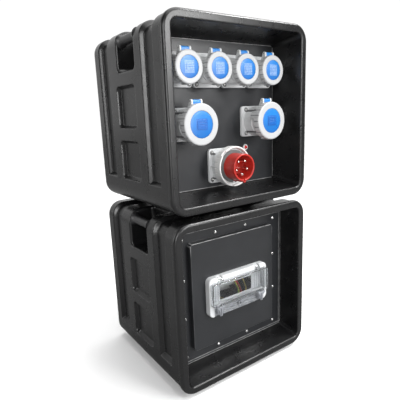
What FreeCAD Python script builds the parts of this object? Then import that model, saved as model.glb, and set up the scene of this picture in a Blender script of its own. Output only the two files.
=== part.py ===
"""Portable power distribution box: a socket module stacked on a breaker module.

Millimetres.  X runs left to right seen from the front, Y from front to back, Z up.
The origin is under the middle of the stack, on the surface it stands on.
"d" below is a depth measured back from the front rims, "h" a height measured
forward from the front face of the upper device plate.
"""
import FreeCAD, Part
import math
import os

os.makedirs("parts", exist_ok=True)
V = FreeCAD.Vector

# ---------------------------------------------------------------- driving sizes
W = 400.0            # outer width of each module
H = 408.0            # outer height of each moulded shell
D = 370.0            # depth, front rim to back
PAD_H = 8.0          # rubber pads under each module, below the rim
PAD_R = 13.0
PAD_X = 100.0
PAD_D = (118.0, 344.0)
SEAT_RISE = 10.0     # stacking seats moulded on top of each module
SEAT_DEEP = 3.0      # how far a pad drops into its seat
GAP = PAD_H + SEAT_RISE - SEAT_DEEP

CORNER_R = 40.0      # rounded long edges of a shell, seen from the front
RIM_DEEP = 14.0      # front rim band
RIM_W = 20.0         # width of the front rim face
BODY_IN = 2.5        # the body is set in from the rim band
WALL = 6.0           # moulded wall
BACK_R = 16.0

CHANNEL_IN = 10.0    # depth of the moulded channels over sides and top
CHANNELS = [(45.0, 103.0), (272.0, 331.0)]
CHANNEL_END = 62.0   # height at which the channels stop on the sides
RECESS_D = (136.0, 236.0)
RECESS_Z = [(62.0, 156.0), (184.0, 281.0)]
RECESS_IN = 9.0
NOTCH_D = (134.0, 222.0)
NOTCH_Z = 312.0
NOTCH_IN = 70.0
BAR_R = 10.5
BAR_IN = (18.5, 27.0)  # bar centre in from the side and down from the top

PLATE_T = 3.0
PLATE_HX = 175.5
PLATE_Z = (34.5, 373.0)
UP_PLATE_D = 92.0    # front face of the upper device plate
LOW_PLATE_D = 63.0   # front face of the lower frame plate
SEAL_T = 2.0
LEDGE_T = 6.0
UP_OPENING = (156.0, 50.0, 349.0)    # opening in each ledge: half width, bottom, top
LOW_OPENING = (134.0, 68.0, 339.0)

RAISED_HX = 130.5
RAISED_Z = (70.0, 342.5)
RAISED_H = 14.0

WIN_HX = 92.5        # breaker window
WIN_Z = (151.0, 251.0)
WIN_PROUD = 16.0
SLOT_HX = 52.0
SLOT_Z = (183.0, 220.0)
COVER_HX = 89.0
COVER_Z = (179.5, 239.5)
HINGE_X = 60.0
CATCH_X = 66.0
CATCH_Z = 165.0
CATCH_TRAVEL = 6.0

Z_LOW = PAD_H
Z_UP = Z_LOW + H + GAP

SMALL = dict(fx=38.4, fz=37.5, sx=30.0, sz=30.0, neck=27.0, bore=21.5, ring=34.5, disc=22.0,
             face=58.0, front=4.0, skirt=12.0, leg=25.0, pad=(8.5, 7.0), pins=3, rear=26.0)
LARGE = dict(fx=42.0, fz=37.0, sx=27.5, sz=28.5, neck=35.5, bore=29.5, ring=44.5, disc=28.0,
             face=70.0, front=5.0, skirt=15.0, leg=29.0, pad=(11.5, 10.0), pins=3, rear=32.0)
SMALL_X = [-120.0, -40.0, 40.0, 120.0]
SMALL_Z = 306.0
LARGE_X = [-103.0, 103.0]
LARGE_Z = 188.0
INLET = dict(fx=43.0, fz=41.0, sx=34.0, sz=32.0, tip=85.5, rear=27.5)
INLET_Z = 87.0
LAMP = (77.5, 124.0)
RING_TURN = 20.0     # bayonet ring travel in degrees
CABLE_DROP = 14.0    # a cable leaves the back of an outlet this far below its axis
PIN_R = 1.5
RUN = 0.06           # radial running clearance


# ---------------------------------------------------------------- small helpers
def yy(d):
    return d - D / 2


def box(x0, x1, d0, d1, z0, z1):
    return Part.makeBox(x1 - x0, d1 - d0, z1 - z0, V(x0, yy(d0), z0))


def cyl(x, z, r, d0, d1):
    return Part.makeCylinder(r, d1 - d0, V(x, yy(d0), z), V(0, 1, 0))


def tube(x, z, ro, ri, d0, d1):
    return cyl(x, z, ro, d0, d1).cut(cyl(x, z, ri, d0 - 1, d1 + 1))


def cyl_x(x0, x1, d, z, r):
    return Part.makeCylinder(r, x1 - x0, V(x0, yy(d), z), V(1, 0, 0))


def rrect(x0, x1, z0, z1, r, d):
    """Rounded rectangle wire standing in the plane at depth d."""
    y, k = yy(d), r * (1 - math.sqrt(0.5))
    e = [Part.makeLine(V(x0 + r, y, z0), V(x1 - r, y, z0)),
         Part.Arc(V(x1 - r, y, z0), V(x1 - k, y, z0 + k), V(x1, y, z0 + r)).toShape(),
         Part.makeLine(V(x1, y, z0 + r), V(x1, y, z1 - r)),
         Part.Arc(V(x1, y, z1 - r), V(x1 - k, y, z1 - k), V(x1 - r, y, z1)).toShape(),
         Part.makeLine(V(x1 - r, y, z1), V(x0 + r, y, z1)),
         Part.Arc(V(x0 + r, y, z1), V(x0 + k, y, z1 - k), V(x0, y, z1 - r)).toShape(),
         Part.makeLine(V(x0, y, z1 - r), V(x0, y, z0 + r)),
         Part.Arc(V(x0, y, z0 + r), V(x0 + k, y, z0 + k), V(x0 + r, y, z0)).toShape()]
    return Part.Wire(e)


def plate(x0, x1, z0, z1, r, d0, d1):
    face = Part.Face(rrect(x0, x1, z0, z1, r, d0))
    return face.extrude(V(0, d1 - d0, 0))


def loft(wires):
    return Part.makeLoft(wires, True, True)


def prism_x(points, x0, x1):
    """Solid from (d, z) points, extruded along X."""
    pts = [V(x0, yy(d), z) for d, z in points]
    return Part.Face(Part.makePolygon(pts + [pts[0]])).extrude(V(x1 - x0, 0, 0))


def prism_y(points, d0, d1):
    pts = [V(x, yy(d0), z) for x, z in points]
    return Part.Face(Part.makePolygon(pts + [pts[0]])).extrude(V(0, d1 - d0, 0))


def turned(profile, x, z):
    """Solid of revolution about the Y line through (x, z) from (radius, depth) points."""
    pts = [V(x + r, yy(d), z) for r, d in profile]
    face = Part.Face(Part.makePolygon(pts + [pts[0]]))
    return face.revolve(V(x, 0, z), V(0, 1, 0), 360)


def fuse(shapes):
    first, rest = shapes[0], shapes[1:]
    return first.multiFuse(rest).removeSplitter() if rest else first


def mirror_x(shape):
    return shape.mirror(V(0, 0, 0), V(1, 0, 0))


def both(shape):
    return [shape, mirror_x(shape)]


def up(shape, z):
    shape = shape.copy()
    shape.translate(V(0, 0, z))
    return shape


def spin(shape, x, z, angle):
    """Copy turned about the Y line through (x, z); 0 is the top, positive towards +X."""
    shape = shape.copy()
    shape.rotate(V(x, 0, z), V(0, 1, 0), angle)
    return shape


def save(name, shape):
    if isinstance(shape, (list, tuple)):
        shape = Part.makeCompound(list(shape))
    shape.exportStep("parts/%s.step" % name)
    print(name, len(shape.Solids), shape.isValid())


def ease(t):
    return 3 * t * t - 2 * t ** 3


STEPS = [0.0, 0.1, 0.25, 0.42, 0.58, 0.75, 0.9, 1.0]


# ---------------------------------------------------------------- moulded shell
def body_wire(inset, d):
    return rrect(-W / 2 + inset, W / 2 - inset, inset, H - inset, CORNER_R - inset, d)


def above_channel_end(d0, d1, inset):
    """Everything above the sloping lower ends of the channels."""
    xi = W / 2 - BODY_IN - CHANNEL_IN - inset
    z = CHANNEL_END - inset
    pts = [(-W, z - 8), (-W / 2 + BODY_IN, z), (-xi, z + 8), (xi, z + 8),
           (W / 2 - BODY_IN, z), (W, z - 8), (W, H + 60), (-W, H + 60)]
    return prism_y(pts, d0, d1)


def channel_cutter(d0, d1):
    run = 8.5
    path = [(d0 + run * t, CHANNEL_IN * ease(t)) for t in STEPS]
    path += [(d1 - run * t, CHANNEL_IN * ease(t)) for t in reversed(STEPS)]
    path[0], path[-1] = (d0, -0.4), (d1, -0.4)
    core = loft([body_wire(BODY_IN + i, d) for d, i in path])
    return above_channel_end(d0, d1, 0).cut(core)


def recess_cutter(z0, z1, grow=0.0, deep=RECESS_IN):
    """Shallow rounded panel sunk into the left side, with sloping edges."""
    x0 = -W / 2 + BODY_IN
    levels = [(x0 - 1.0, -1.2), (x0, 0.0), (x0 + deep * 0.35, 1.6), (x0 + deep * 0.8, 5.0), (x0 + deep, 7.0)]
    wires = []
    for x, i in levels:
        i -= grow
        a, b, c, e, r = RECESS_D[0] + i, RECESS_D[1] - i, z0 + i, z1 - i, max(3.0, 12 - i)
        w = rrect(a, b, c, e, r, D / 2)
        w.rotate(V(0, 0, 0), V(0, 0, 1), 90)
        w.translate(V(x, -D / 2, 0))
        wires.append(w)
    return loft(wires)


def notch_block(grow=0.0):
    b = box(-W / 2 - 40, -W / 2 + BODY_IN + NOTCH_IN + grow, NOTCH_D[0] - grow, NOTCH_D[1] + grow,
            NOTCH_Z - grow, H + 60)
    return b.makeFillet(10.0, b.Edges)


def outline(d0, d1, inset, back_r):
    s = Part.Face(body_wire(inset, d0)).extrude(V(0, d1 - d0, 0))
    back = [e for e in s.Edges if abs(e.BoundBox.YMin - yy(d1)) < 1e-6]
    return s.makeFillet(back_r, back)


def soften_notch(s):
    """Round the mouth edges of both handle notches."""
    picked = []
    for e in s.Edges:
        b = e.BoundBox
        inside = NOTCH_D[0] - 1 < b.YMin + D / 2 and b.YMax + D / 2 < NOTCH_D[1] + 1
        if not inside or b.ZMin < NOTCH_Z - 1:
            continue
        on_side = max(abs(b.XMin), abs(b.XMax)) > W / 2 - BODY_IN - CORNER_R and \
            min(abs(b.XMin), abs(b.XMax)) > W / 2 - BODY_IN - 0.01
        on_top = b.ZMin > H - BODY_IN - 0.01
        p = [e.valueAt(e.FirstParameter + (e.LastParameter - e.FirstParameter) * t) for t in (0.25, 0.5, 0.75)]
        arc = all(abs(math.hypot(abs(q.x) - (W / 2 - CORNER_R), q.z - (H - CORNER_R)) -
                      (CORNER_R - BODY_IN)) < 0.01 for q in p)
        if on_side or on_top or arc:
            picked.append(e)
    for r in (6.0, 5.0, 4.0):
        try:
            t = s.makeFillet(r, picked)
            if t.isValid():
                print("notch edges rounded", r, len(picked))
                return t
        except Exception:
            pass
    print("notch edges left sharp", len(picked))
    return s


def funnel(plate_d, grow, d_end):
    """Front recess, from the rim opening back to the plate it holds."""
    px, pz0, pz1 = PLATE_HX + 1.5, PLATE_Z[0] - 1.2, PLATE_Z[1] + 1.2
    ox, oz = W / 2 - RIM_W, RIM_W
    wires = []
    if grow == 0:
        for d, e in ((-0.6, 3.6), (0.0, 2.8), (0.6, 1.5), (1.6, 0.6), (3.2, 0.0)):
            wires.append(rrect(-ox - e, ox + e, oz - e, H - oz + e, 14 + e, d))
    else:
        wires.append(rrect(-ox - grow, ox + grow, oz - grow, H - oz + grow, 14 + grow, 0.5))
    for d in (plate_d, d_end):
        wires.append(rrect(-px - grow, px + grow, pz0 - grow, pz1 + grow, 10 + grow, d))
    return loft(wires)


def ledge_holes(points, d0, d1, r=3.3):
    return [cyl(x, z, r, d0, d1) for x, z in points]


def pad_places():
    return [(x, d) for x in (-PAD_X, PAD_X) for d in PAD_D]


def stacking_seat(x, d):
    """Raised cup that takes one pad of the module above."""
    z0, z1 = H - BODY_IN - CHANNEL_IN - 1, H + SEAT_RISE
    s = Part.makeCone(PAD_R + 9, PAD_R + 6, z1 - z0, V(x, yy(d), z0), V(0, 0, 1))
    return s.makeFillet(2.0, [e for e in s.Edges if abs(e.BoundBox.ZMin - z1) < 1e-6])


def seat_cup(x, d):
    z = H + SEAT_RISE - SEAT_DEEP
    cup = Part.makeCylinder(PAD_R + 0.6, 20, V(x, yy(d), z), V(0, 0, 1))
    return cup.fuse(Part.makeCone(PAD_R + 0.6, PAD_R + 2.1, 1.5, V(x, yy(d), z + 1.6), V(0, 0, 1)))


def front_frame(plate_d, opening, fixings, fix_r):
    """Front of the case: the rim, the recess behind it and the ledge that carries the plate."""
    rim = Part.Face(body_wire(0, 0)).extrude(V(0, RIM_DEEP, 0))
    rim = rim.makeFillet(7.0, [e for e in rim.Edges if abs(e.BoundBox.YMax - yy(0)) < 1e-6])
    rim = rim.makeFillet(2.2, [e for e in rim.Edges if abs(e.BoundBox.YMin - yy(RIM_DEEP)) < 1e-6])
    ledge_d = plate_d + PLATE_T + SEAL_T
    way = plate(-opening[0], opening[0], opening[1], opening[2], 12, ledge_d - 1, ledge_d + LEDGE_T + 1)
    cuts = [funnel(plate_d, 0.0, ledge_d), way]
    cuts += ledge_holes(fixings, ledge_d - 1, ledge_d + LEDGE_T + 1, fix_r)
    return rim.fuse(funnel(plate_d, 5.0, ledge_d + LEDGE_T)).cut(cuts)


def shell(plate_d):
    """Case behind the rim, open at the front, with channels, sunk panels, notches and seats."""
    body = outline(RIM_DEEP, D, BODY_IN, BACK_R)
    body = body.cut(both(notch_block()))
    body = soften_notch(body)
    cutters = [channel_cutter(*c) for c in CHANNELS]
    for z0, z1 in RECESS_Z:
        cutters += both(recess_cutter(z0, z1))
    outer = body.cut(cutters).fuse([stacking_seat(x, d) for x, d in pad_places()])

    hollow = outline(RIM_DEEP - 1, D - WALL, BODY_IN + WALL, BACK_R - WALL)
    keep = []
    for d0, d1 in CHANNELS:
        core = plate(-W / 2 + BODY_IN + CHANNEL_IN + WALL, W / 2 - BODY_IN - CHANNEL_IN - WALL,
                     -20, H - BODY_IN - CHANNEL_IN - WALL, CORNER_R - BODY_IN - CHANNEL_IN - WALL,
                     d0 - 3, d1 + 3)
        keep.append(box(-W, W, d0 - 3, d1 + 3, CHANNEL_END - WALL, H + 20).cut(core))
    for z0, z1 in RECESS_Z:
        keep += both(box(-W / 2 - 5, -W / 2 + BODY_IN + RECESS_IN + WALL, RECESS_D[0] - 2, RECESS_D[1] + 2,
                         z0 - 3, z1 + 3))
    keep += both(notch_block(WALL))
    hollow = hollow.cut(keep)

    cuts = [hollow, funnel(plate_d, 5.0, plate_d + PLATE_T + SEAL_T + LEDGE_T)]
    cuts += [seat_cup(x, d) for x, d in pad_places()]
    for side in (-1, 1):
        x = side * (W / 2 - BAR_IN[0])
        cuts.append(cyl(x, H - BAR_IN[1], BAR_R, NOTCH_D[0] - 5, NOTCH_D[1] + 5))
    return outer.cut(cuts)


def handle_bar():
    """Round grip across the left notch, flared where it meets the walls."""
    x, z, a, b = -W / 2 + BAR_IN[0], H - BAR_IN[1], NOTCH_D[0], NOTCH_D[1]
    flare = [(11.0, 0.0), (8.2, 1.2), (5.8, 3.0), (3.8, 5.2), (2.0, 8.0), (0.8, 11.0), (0.0, 14.0)]
    pts = [(0.0, a - 5), (BAR_R, a - 5), (BAR_R, a)]
    pts += [(BAR_R + g * 0.45, a + 0.02 + t) for g, t in flare]
    pts += [(BAR_R + g * 0.45, b - 0.02 - t) for g, t in reversed(flare)]
    pts += [(BAR_R, b), (BAR_R, b + 5), (0.0, b + 5)]
    return turned(pts, x, z)


def pad(x, d):
    body = Part.makeCylinder(PAD_R, PAD_H + BODY_IN, V(x, yy(d), -PAD_H))
    return body.makeFillet(1.5, [e for e in body.Edges if abs(e.BoundBox.ZMax + PAD_H) < 1e-6])


UP_FIX = [(sx * x, z) for sx in (-1, 1) for x, z in
          ((164.0, 62.0), (164.0, 203.7), (164.0, 345.0), (82.0, 43.0), (82.0, 361.0))]
LOW_FIX = [(x, z) for x in (-144.5, -48.0, 48.0, 144.5) for z in (53.5, 155.0, 252.5, 353.5)
           if abs(x) > 100 or z in (53.5, 353.5)]

save("lower_shell", up(shell(LOW_PLATE_D), Z_LOW))
save("upper_shell", up(shell(UP_PLATE_D), Z_UP))
save("lower_front_frame", up(front_frame(LOW_PLATE_D, LOW_OPENING, LOW_FIX, 2.05), Z_LOW))
save("upper_front_frame", up(front_frame(UP_PLATE_D, UP_OPENING, UP_FIX, 3.3), Z_UP))
bars = both(handle_bar())
save("lower_handle_bars", [up(b, Z_LOW) for b in bars])
save("upper_handle_bars", [up(b, Z_UP) for b in bars])
save("lower_pads", [up(pad(x, d), Z_LOW) for x, d in pad_places()])
save("upper_pads", [up(pad(x, d), Z_UP) for x, d in pad_places()])


# ---------------------------------------------------------------- device plate
def device_places():
    places = [(x, SMALL_Z, SMALL) for x in SMALL_X] + [(x, LARGE_Z, LARGE) for x in LARGE_X]
    return places


def screw_places():
    out = []
    for x, z, p in device_places() + [(0.0, INLET_Z, INLET)]:
        out += [(x + i * p["sx"], z + j * p["sz"]) for i in (-1, 1) for j in (-1, 1)]
    return out


def h_(h):
    """Depth of a height h in front of the device plate."""
    return UP_PLATE_D - h


def device_plate():
    s = plate(-PLATE_HX, PLATE_HX, PLATE_Z[0], PLATE_Z[1], 8, UP_PLATE_D, UP_PLATE_D + PLATE_T)
    cuts = [cyl(x, z, p["rear"] + 0.6, 80, 110) for x, z, p in device_places()]
    cuts += [cyl(0, INLET_Z, INLET["rear"] + 0.6, 80, 110), cyl(LAMP[0], LAMP[1], 6.1, 80, 110)]
    cuts += [cyl(x, z, 2.15, 80, 110) for x, z in screw_places()]
    return s.cut(cuts)


def ring_seal(plate_d, opening, fixings, r):
    d0 = plate_d + PLATE_T
    s = plate(-PLATE_HX + 1, PLATE_HX - 1, PLATE_Z[0] + 1, PLATE_Z[1] - 1, 7, d0, d0 + SEAL_T)
    s = s.cut(plate(-opening[0], opening[0], opening[1], opening[2], 10, d0 - 1, d0 + SEAL_T + 1))
    return s.cut(ledge_holes(fixings, d0 - 1, d0 + SEAL_T + 1, r))


def hexagon(x, z, across, d0, d1):
    r = across / math.sqrt(3)
    pts = [(x + r * math.cos(math.radians(60 * i)), z + r * math.sin(math.radians(60 * i))) for i in range(6)]
    return prism_y(pts, d0, d1)


def stud_with_nut(x, z):
    """Welded stud behind the device plate with washer and nut behind the ledge."""
    d0 = UP_PLATE_D + PLATE_T
    d1 = d0 + SEAL_T + LEDGE_T
    stud = cyl(x, z, 3.0, d0, d1 + 9)
    washer = cyl(x, z, 6.0, d1, d1 + 1.2).cut(cyl(x, z, 3.0, d1 - 1, d1 + 3))
    nut = hexagon(x, z, 10, d1 + 1.2, d1 + 6.2).cut(cyl(x, z, 3.0, d1, d1 + 9))
    return [fuse([stud, washer, nut])]


def pan_screw(x, z, r, head_r, d_seat, d_end, cross=True):
    """Pan-head screw driven along +Y from depth d_seat."""
    head = turned([(0, d_seat - 2.3), (head_r * 0.55, d_seat - 2.2), (head_r * 0.85, d_seat - 1.6),
                   (head_r, d_seat - 0.7), (head_r, d_seat), (0, d_seat)], x, z)
    s = head.fuse(cyl(x, z, r, d_seat - 0.5, d_end))
    if cross:
        a = box(x - head_r * 0.55, x + head_r * 0.55, d_seat - 3, d_seat - 1.0, z - 0.35, z + 0.35)
        b = box(x - 0.35, x + 0.35, d_seat - 3, d_seat - 1.0, z - head_r * 0.55, z + head_r * 0.55)
        s = s.cut([a, b])
    return s


def upper_fixings():
    out = []
    for x, z in UP_FIX:
        out += stud_with_nut(x, z)
    for x, z in screw_places():
        out.append(pan_screw(x, z, 2.0, 3.5, h_(8.0), h_(-PLATE_T - 5.0)))
        back = hexagon(x, z, 7, h_(-PLATE_T), h_(-PLATE_T - 3.2)).cut(cyl(x, z, 2.0, 80, 120))
        out.append(back)
    return out


# ---------------------------------------------------------------- sealed socket outlets
def q_(p, q):
    """Depth of a point q behind the front of a closed lid."""
    return h_(p["face"] - q)


def sector(x, z, r0, r1, a0, a1, d0, d1):
    """Piece of a tube between two angles, measured from the top towards +X."""
    n = 8
    pts = []
    for r, order in ((r0, range(n + 1)), (r1, range(n, -1, -1))):
        for i in order:
            a = math.radians(a0 + (a1 - a0) * i / n)
            pts.append((x + r * math.sin(a), z + r * math.cos(a)))
    return prism_y(pts, d0, d1)


LEGS = (70.0, 180.0, 290.0)


def hinge_z(z, p):
    return z + p["ring"] + 4.5


def hinge_q(p):
    return p["skirt"] + 5.0


def shoulder(p):
    """Depth of the shoulder in the bore; the contact carrier sits just behind it."""
    return q_(p, p["skirt"] + 14.0)


def outlet_housing(x, z, p):
    """Flanged block, and the neck that stands in it with its bayonet lugs and hinge ears."""
    rn, rb = p["neck"], p["bore"]
    mouth = q_(p, p["skirt"] - 0.6)
    flange = plate(x - p["fx"], x + p["fx"], z - p["fz"], z + p["fz"], 7, h_(8.0), h_(1.5))
    edge = [e for e in flange.Edges if abs(e.BoundBox.YMax - yy(h_(8.0))) < 1e-6]
    flange = flange.makeFillet(1.4, edge)
    block, k = flange, min(p["fx"], p["fz"]) - 9
    if k > rn:
        skirt = loft([rrect(x - k, x + k, z - k, z + k, 12, h_(6.0)),
                      rrect(x - k, x + k, z - k, z + k, 12, h_(13.0)),
                      rrect(x - rn - 0.4, x + rn + 0.4, z - rn - 0.4, z + rn + 0.4, rn, h_(22.0))])
        block = flange.fuse(skirt)
    cuts = [cyl(x, z, rn, h_(30.0), h_(0.0))]
    for i in (-1, 1):
        for j in (-1, 1):
            cuts.append(cyl(x + i * p["sx"], z + j * p["sz"], 2.2, h_(12.0), h_(-2.0)))
            cuts.append(cyl(x + i * p["sx"], z + j * p["sz"], 4.4, h_(14.5), h_(8.0)))
    block = block.cut(cuts)

    parts = [cyl(x, z, rn, mouth, h_(1.5)), cyl(x, z, rn + 1.2, q_(p, p["leg"] + 4), q_(p, p["leg"] + 7))]
    q0 = p["leg"] - 7.0
    for a in LEGS:
        parts.append(sector(x, z, rn - 2, p["ring"] - 4.4, a + RING_TURN - 7, a + RING_TURN + 7,
                            q_(p, q0), q_(p, q0 + 3.4)))
    hz, hq = hinge_z(z, p), hinge_q(p)
    for side in (-1, 1):
        x0, x1 = sorted((x + side * 10.4, x + side * 14.2))
        ear = prism_x([(q_(p, hq - 4.5), hz), (q_(p, hq - 4.5), z + rn - 6), (q_(p, hq + 10), z + rn - 6),
                       (q_(p, hq + 10), z + rn + 2), (q_(p, hq + 4.5), hz)], x0, x1)
        parts += [ear, cyl_x(x0, x1, q_(p, hq), hz, 4.5)]
    neck = fuse(parts).cut([cyl(x, z, rb, mouth - 1, shoulder(p)), cyl(x, z, rb - 1.5, mouth - 1, h_(0.0)),
                            cyl_x(x - 20, x + 20, q_(p, hq), hz, PIN_R)])
    return [block, neck]


def rear_cover(x, z, p):
    """Closed back of an outlet behind the device plate, with the cable's way out."""
    s = cyl(x, z, p["rear"], h_(1.5), h_(-34.0)).fuse(cyl(x, z - CABLE_DROP, 9.5, h_(-33.0), h_(-46.0)))
    return s.cut([cyl(x, z, p["bore"] - 1.5, h_(3.0), h_(-28.0)),
                  cyl(x, z - CABLE_DROP, 5.6, h_(-20.0), h_(-48.0))])


def outlet_seal(x, z, fx, fz, sx, sz, hole):
    s = plate(x - fx + 1, x + fx - 1, z - fz + 1, z + fz - 1, 6, h_(1.5), h_(0.0))
    cuts = [cyl(x, z, hole, 80, 100)] + [cyl(x + i * sx, z + j * sz, 2.15, 80, 100)
                                         for i in (-1, 1) for j in (-1, 1)]
    return s.cut(cuts)


def outlet_lid(x, z, p):
    rd, rr, f, sk = p["disc"], p["ring"], p["front"], p["skirt"]
    pts = [(0, q_(p, -0.4)), (rd * 0.5, q_(p, -0.3)), (rd * 0.85, q_(p, 0.0)), (rd + 0.5, q_(p, 0.4)),
           (rd + 0.8, q_(p, 0.7)), (rd + 0.8, q_(p, 1.5)), (rd, q_(p, 1.5)), (rd, q_(p, f + 0.5)),
           (rr - 3.6, q_(p, f + 0.5)), (rr - 3.6, q_(p, f + 3.4)), (p["neck"] - 0.4, q_(p, f + 3.4)),
           (p["neck"] - 0.4, q_(p, sk - 0.9)), (p["bore"] + 1.4, q_(p, sk - 0.9)),
           (p["bore"] + 1.4, q_(p, f + 3.4)), (0, q_(p, f + 3.4))]
    parts = [turned(pts, x, z)]
    a, b = p["pad"]
    badge = plate(x - a, x + a, z - b, z + b, 2.0, q_(p, -1.0), q_(p, 0.2))
    bars = [box(x - a * 0.62, x + a * 0.62, q_(p, -2), q_(p, -0.55), z + t * b - 1.0, z + t * b + 1.0)
            for t in (0.45, -0.1)]
    parts.append(badge.cut(bars))
    hz, hq = hinge_z(z, p), hinge_q(p)
    wall = tube(x, z, rr - 3.6, rr - 6.6, q_(p, f + 2), q_(p, sk + 4))
    parts.append(wall.common(box(x - 9.8, x + 9.8, q_(p, 0), q_(p, sk + 4.0), z, z + rr)))
    parts.append(box(x - 9.8, x + 9.8, q_(p, sk + 0.7), q_(p, sk + 4.0), z + rr - 6.3, hz))
    parts.append(cyl_x(x - 9.8, x + 9.8, q_(p, hq), hz, 3.5))
    return fuse(parts).cut(cyl_x(x - 20, x + 20, q_(p, hq), hz, PIN_R + RUN))


def outlet_ring(x, z, p):
    rd, rr, f, sk, leg = p["disc"], p["ring"], p["front"], p["skirt"], p["leg"]
    pts = [(rd + 1.3, q_(p, 0.2)), (rd + 1.9, q_(p, 0.0)), (rr - 3.0, q_(p, 0.0)), (rr - 1.5, q_(p, 0.5)),
           (rr - 0.5, q_(p, 1.5)), (rr, q_(p, 3.0)), (rr, q_(p, sk)), (rr - 3, q_(p, sk)), (rr - 3, q_(p, f)),
           (rd + RUN, q_(p, f)), (rd + RUN, q_(p, 1.7)), (rd + 1.3, q_(p, 1.7))]
    parts = [turned(pts, x, z)]
    for a in LEGS:
        parts.append(sector(x, z, rr - 3, rr - 0.05, a - 12, a + 12, q_(p, sk - 1), q_(p, leg)))
        parts.append(sector(x, z, rr - 6.4, rr - 2.6, a - 7, a + 7, q_(p, leg - 3.0), q_(p, leg)))
    s = fuse(parts)
    grips = []
    count = 20
    for i in range(count):
        t = math.radians(360.0 * (i + 0.5) / count)
        grips.append(cyl(x + (rr + 1.1) * math.sin(t), z + (rr + 1.1) * math.cos(t), 2.1,
                         q_(p, 4.5), q_(p, leg + 1)))
    return s.cut(grips)


def outlet_carrier(x, z, p):
    """Contact carrier, with its holes and its sleeves."""
    r, n = p["bore"] - 1.6, p["pins"]
    pr = r * 0.56
    body = cyl(x, z, r, shoulder(p) + 0.3, h_(-22.0))
    spots = [(x + pr * math.sin(math.radians(180 + 120 * i)), z + pr * math.cos(math.radians(180 + 120 * i)))
             for i in range(n)]
    hole_r = 3.1 if p is SMALL else 3.9
    body = body.cut([cyl(a, b, hole_r, 0, h_(-16.0)) for a, b in spots])
    sleeves = [tube(a, b, hole_r, hole_r - 0.8, q_(p, p["skirt"] + 17), h_(-14.0)) for a, b in spots]
    return body, sleeves


# ---------------------------------------------------------------- flanged inlet
def inlet():
    x, z = 0.0, INLET_Z
    fx, fz, sx, sz = (INLET[k] for k in ("fx", "fz", "sx", "sz"))
    flange = plate(x - fx, x + fx, z - fz, z + fz, 8, h_(8.0), h_(1.5))
    flange = flange.makeFillet(1.5, [e for e in flange.Edges if abs(e.BoundBox.YMax - yy(h_(8.0))) < 1e-6])
    hub = loft([rrect(x - 35, x + 35, z - 34, z + 34, 14, h_(6.0)),
                rrect(x - 35, x + 35, z - 34, z + 34, 16, h_(15)),
                rrect(x - 36.4, x + 36.4, z - 36.4, z + 36.4, 36.3, h_(27.0))])
    neck = cyl(x, z, 36.5, h_(38.0), h_(6.0))
    rear = cyl(x, z, INLET["rear"], h_(4.0), h_(-38.0))
    gland = cyl(x, z, 15.0, h_(-37.0), h_(-52.0))
    ribs = []
    for a in (45, 90, 135, 225, 270, 315):
        ribs.append(spin(box(x - 1.6, x + 1.6, h_(30.0), h_(7.0), z + 30, z + 39.5), x, z, a))
    housing = fuse([flange, hub, neck, rear, gland] + ribs)
    cuts = [cyl(x, z, 31.0, h_(39.0), h_(3.0)), cyl(x, z, 25.5, h_(4.0), h_(-30.0)),
            cyl(x, z, 11.0, h_(-28.0), h_(-54.0))]
    for i in (-1, 1):
        for j in (-1, 1):
            cuts.append(cyl(x + i * sx, z + j * sz, 2.2, h_(14.0), h_(-2.0)))
            cuts.append(cyl(x + i * sx, z + j * sz, 4.6, h_(16.5), h_(8.0)))
    housing = housing.cut(cuts)
    collar = tube(x, z, 40.8, 31.2, h_(45.5), h_(38.0))
    # red tube around the pins, open at the front, on its own floor
    tip = INLET["tip"]
    pts = [(27.4, h_(48.0)), (27.4, h_(tip - 0.8)), (28.2, h_(tip)), (30.4, h_(tip)),
           (31.2, h_(tip - 0.8)), (31.2, h_(38.0)), (27.4, h_(38.0))]
    shroud = turned(pts, x, z)
    key = box(x - 3.4, x + 3.4, h_(tip), h_(47.0), z - 34.4, z - 29)
    groove = box(x - 1.9, x + 1.9, h_(tip + 2), h_(48.0), z - 32.2, z - 26.5)
    floor = cyl(x, z, 27.4, h_(48.0), h_(38.0))
    pins = []
    for i in range(5):
        t = math.radians(180 + 72 * i)
        a, b = x + 16.5 * math.sin(t), z + 16.5 * math.cos(t)
        r = 3.4 if i == 0 else 2.9
        pins.append(turned([(0, h_(tip - 7.3)), (r - 1.0, h_(tip - 7.7)), (r, h_(tip - 9.8)), (r, h_(48.0)),
                            (0, h_(48.0))], a, b))
    shroud = [fuse([shroud, key]).cut(groove), floor]
    seal = tube(x, z, 38.5, 31.3, h_(48.6), h_(45.5))
    seal = seal.cut(box(x - 3.6, x + 3.6, h_(50.0), h_(44.0), z - 40, z - 30))
    # bayonet ring, free to turn round the collar
    pts = [(40.8 + RUN, h_(42.5)), (43.4, h_(42.5)), (43.4, h_(53.2)), (44.2, h_(54.0)), (46.2, h_(54.0)),
           (47.0, h_(53.2)), (47.0, h_(34.0)), (45.8, h_(33.0)), (40.8 + RUN, h_(33.0)), ]
    ring = turned(pts, x, z)
    back = tube(x, z, 41.5, 36.5 + RUN, h_(37.6), h_(33.0))
    ring = ring.fuse(back)
    slots = []
    for a in (75, 195, 315):
        slots.append(sector(x, z, 43.0, 48.0, a - 9, a + 9, h_(55.0), h_(48.5)))
        slots.append(sector(x, z, 43.0, 48.0, a + 4, a + 24, h_(51.5), h_(48.5)))
    for i in range(24):
        t = math.radians(15.0 * i)
        slots.append(cyl(x + 48.6 * math.sin(t), z + 48.6 * math.cos(t), 2.4, h_(46.0), h_(32.0)))
    ring = ring.cut(slots)
    carrier = cyl(x, z, 30.8, h_(38.0), h_(3.0)).fuse(cyl(x, z, 25.3, h_(4.0), h_(-24.0)))
    return [housing, collar], shroud, pins, seal, ring, carrier


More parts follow.
